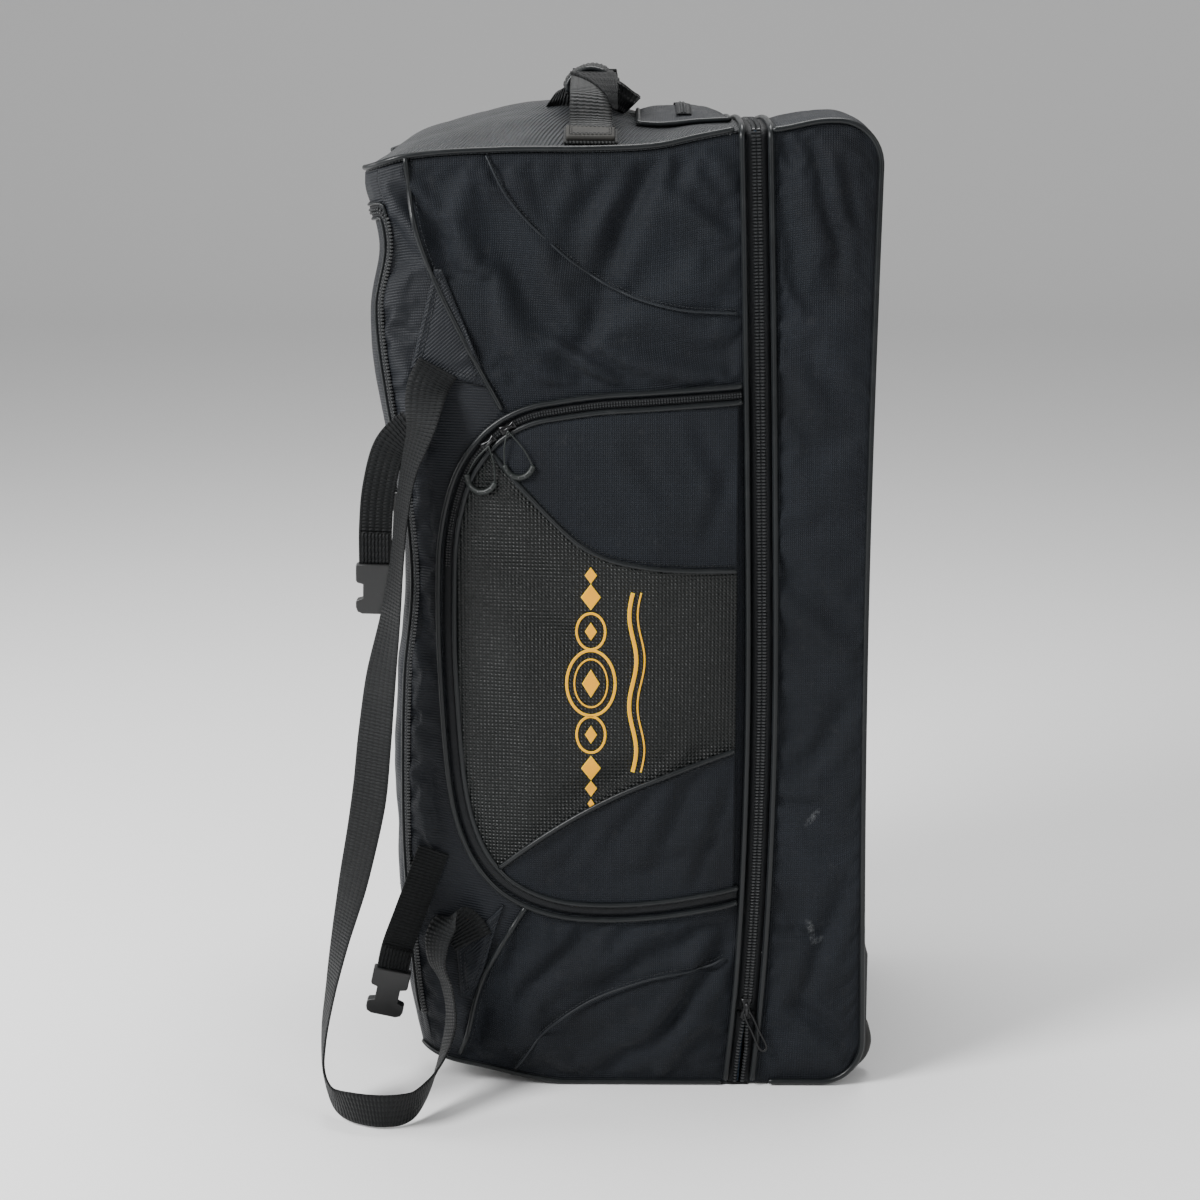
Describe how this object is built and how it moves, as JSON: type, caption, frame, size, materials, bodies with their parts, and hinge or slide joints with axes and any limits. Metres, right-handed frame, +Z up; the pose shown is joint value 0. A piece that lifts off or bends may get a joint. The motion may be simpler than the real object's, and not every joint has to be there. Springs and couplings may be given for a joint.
{
  "type": "cricket kit bag",
  "caption": "Upright wheeled cloth kit bag with a main and a zipped base compartment, side pocket, carry handles, haul handle and compression straps.",
  "frame": {"origin": "centre of the overall depth and width, on the flat wheeled end that the bag stands on", "axes": "+X from the lid towards the base compartment, +Y away from the pocket side, +Z up along the bag"},
  "size_m": [0.5136, 0.6021, 0.9458],
  "materials": {
    "main_cloth": "navy-black ripstop weave",
    "anchor_cloth": "double stitched ripstop patch",
    "end_cloth": "ribbed dark grey cloth",
    "coated_cloth": "coated cloth embossed with small dots",
    "piping": "grey-black piping",
    "webbing": "black ribbed webbing",
    "zip_coil": "black coil zip on woven tape",
    "zip_slider": "black slider",
    "pull_wire": "dark wire pull",
    "pull_cord": "cord loop with moulded grip",
    "buckle": "black moulded side-release buckle",
    "wheel_housing": "black moulded corner shell",
    "wheel_hub": "dark grey moulded hub",
    "wheel_tyre": "soft black wheel tread",
    "axle": "steel pin"
  },
  "bodies": {
    "bag": {"main_near_panel": "main_cloth", "main_far_panel": "main_cloth", "lid_panel": "main_cloth", "base_near_panel": "main_cloth", "base_far_panel": "main_cloth", "base_spine_panel": "main_cloth", "pocket_upper_panel": "main_cloth", "pocket_lower_panel": "main_cloth", "divider": "main_cloth", "handle_patch_upper_near": "anchor_cloth", "handle_patch_upper_far": "anchor_cloth", "handle_patch_lower_near": "anchor_cloth", "handle_patch_lower_far": "anchor_cloth", "top_end_panel": "end_cloth", "end_pocket": "end_cloth", "bottom_end_panel": "coated_cloth", "base_corner_panel": "coated_cloth", "pocket_middle_panel": "coated_cloth", "pocket_piping": "piping", "rim_piping_main": "piping", "rim_piping_base": "piping", "top_piping_near": "piping", "top_piping_far": "piping", "base_piping_near": "piping", "base_piping_far": "piping", "haul_strap": "webbing", "haul_grip": "webbing", "haul_patch_near": "webbing", "haul_patch_far": "webbing", "carry_handle_near": "webbing", "carry_handle_far": "webbing", "strap_upper_near": "webbing", "strap_upper_far": "webbing", "strap_lower_near": "webbing", "strap_lower_far": "webbing", "base_zip": "zip_coil", "lid_zip": "zip_coil", "pocket_zip": "zip_coil", "end_pocket_zip": "zip_coil", "base_zip_tape_main": "zip_coil", "base_zip_tape_base": "zip_coil", "base_zip_slider": "zip_slider", "pocket_slider_left": "zip_slider", "pocket_slider_right": "zip_slider", "base_zip_pull": "pull_wire", "pocket_pull_left": "pull_cord", "pocket_pull_right": "pull_cord", "buckle_upper_near": "buckle", "buckle_upper_far": "buckle", "buckle_lower_near": "buckle", "buckle_lower_far": "buckle", "wheel_housing_near": "wheel_housing", "wheel_housing_far": "wheel_housing", "wheel_axle_near": "axle", "wheel_axle_far": "axle"},
    "wheel_near": {"wheel_hub_near": "wheel_hub", "wheel_tyre_near": "wheel_tyre"},
    "wheel_far": {"wheel_hub_far": "wheel_hub", "wheel_tyre_far": "wheel_tyre"}
  },
  "joints": [
    {"name": "wheel_near_spin", "type": "hinge", "parent": "bag", "child": "wheel_near", "pos_m": [0.202, -0.1456, 0.035], "axis": [0, 1, 0], "continuous": true},
    {"name": "wheel_far_spin", "type": "hinge", "parent": "bag", "child": "wheel_far", "pos_m": [0.202, 0.1456, 0.035], "axis": [0, 1, 0], "continuous": true}
  ]
}
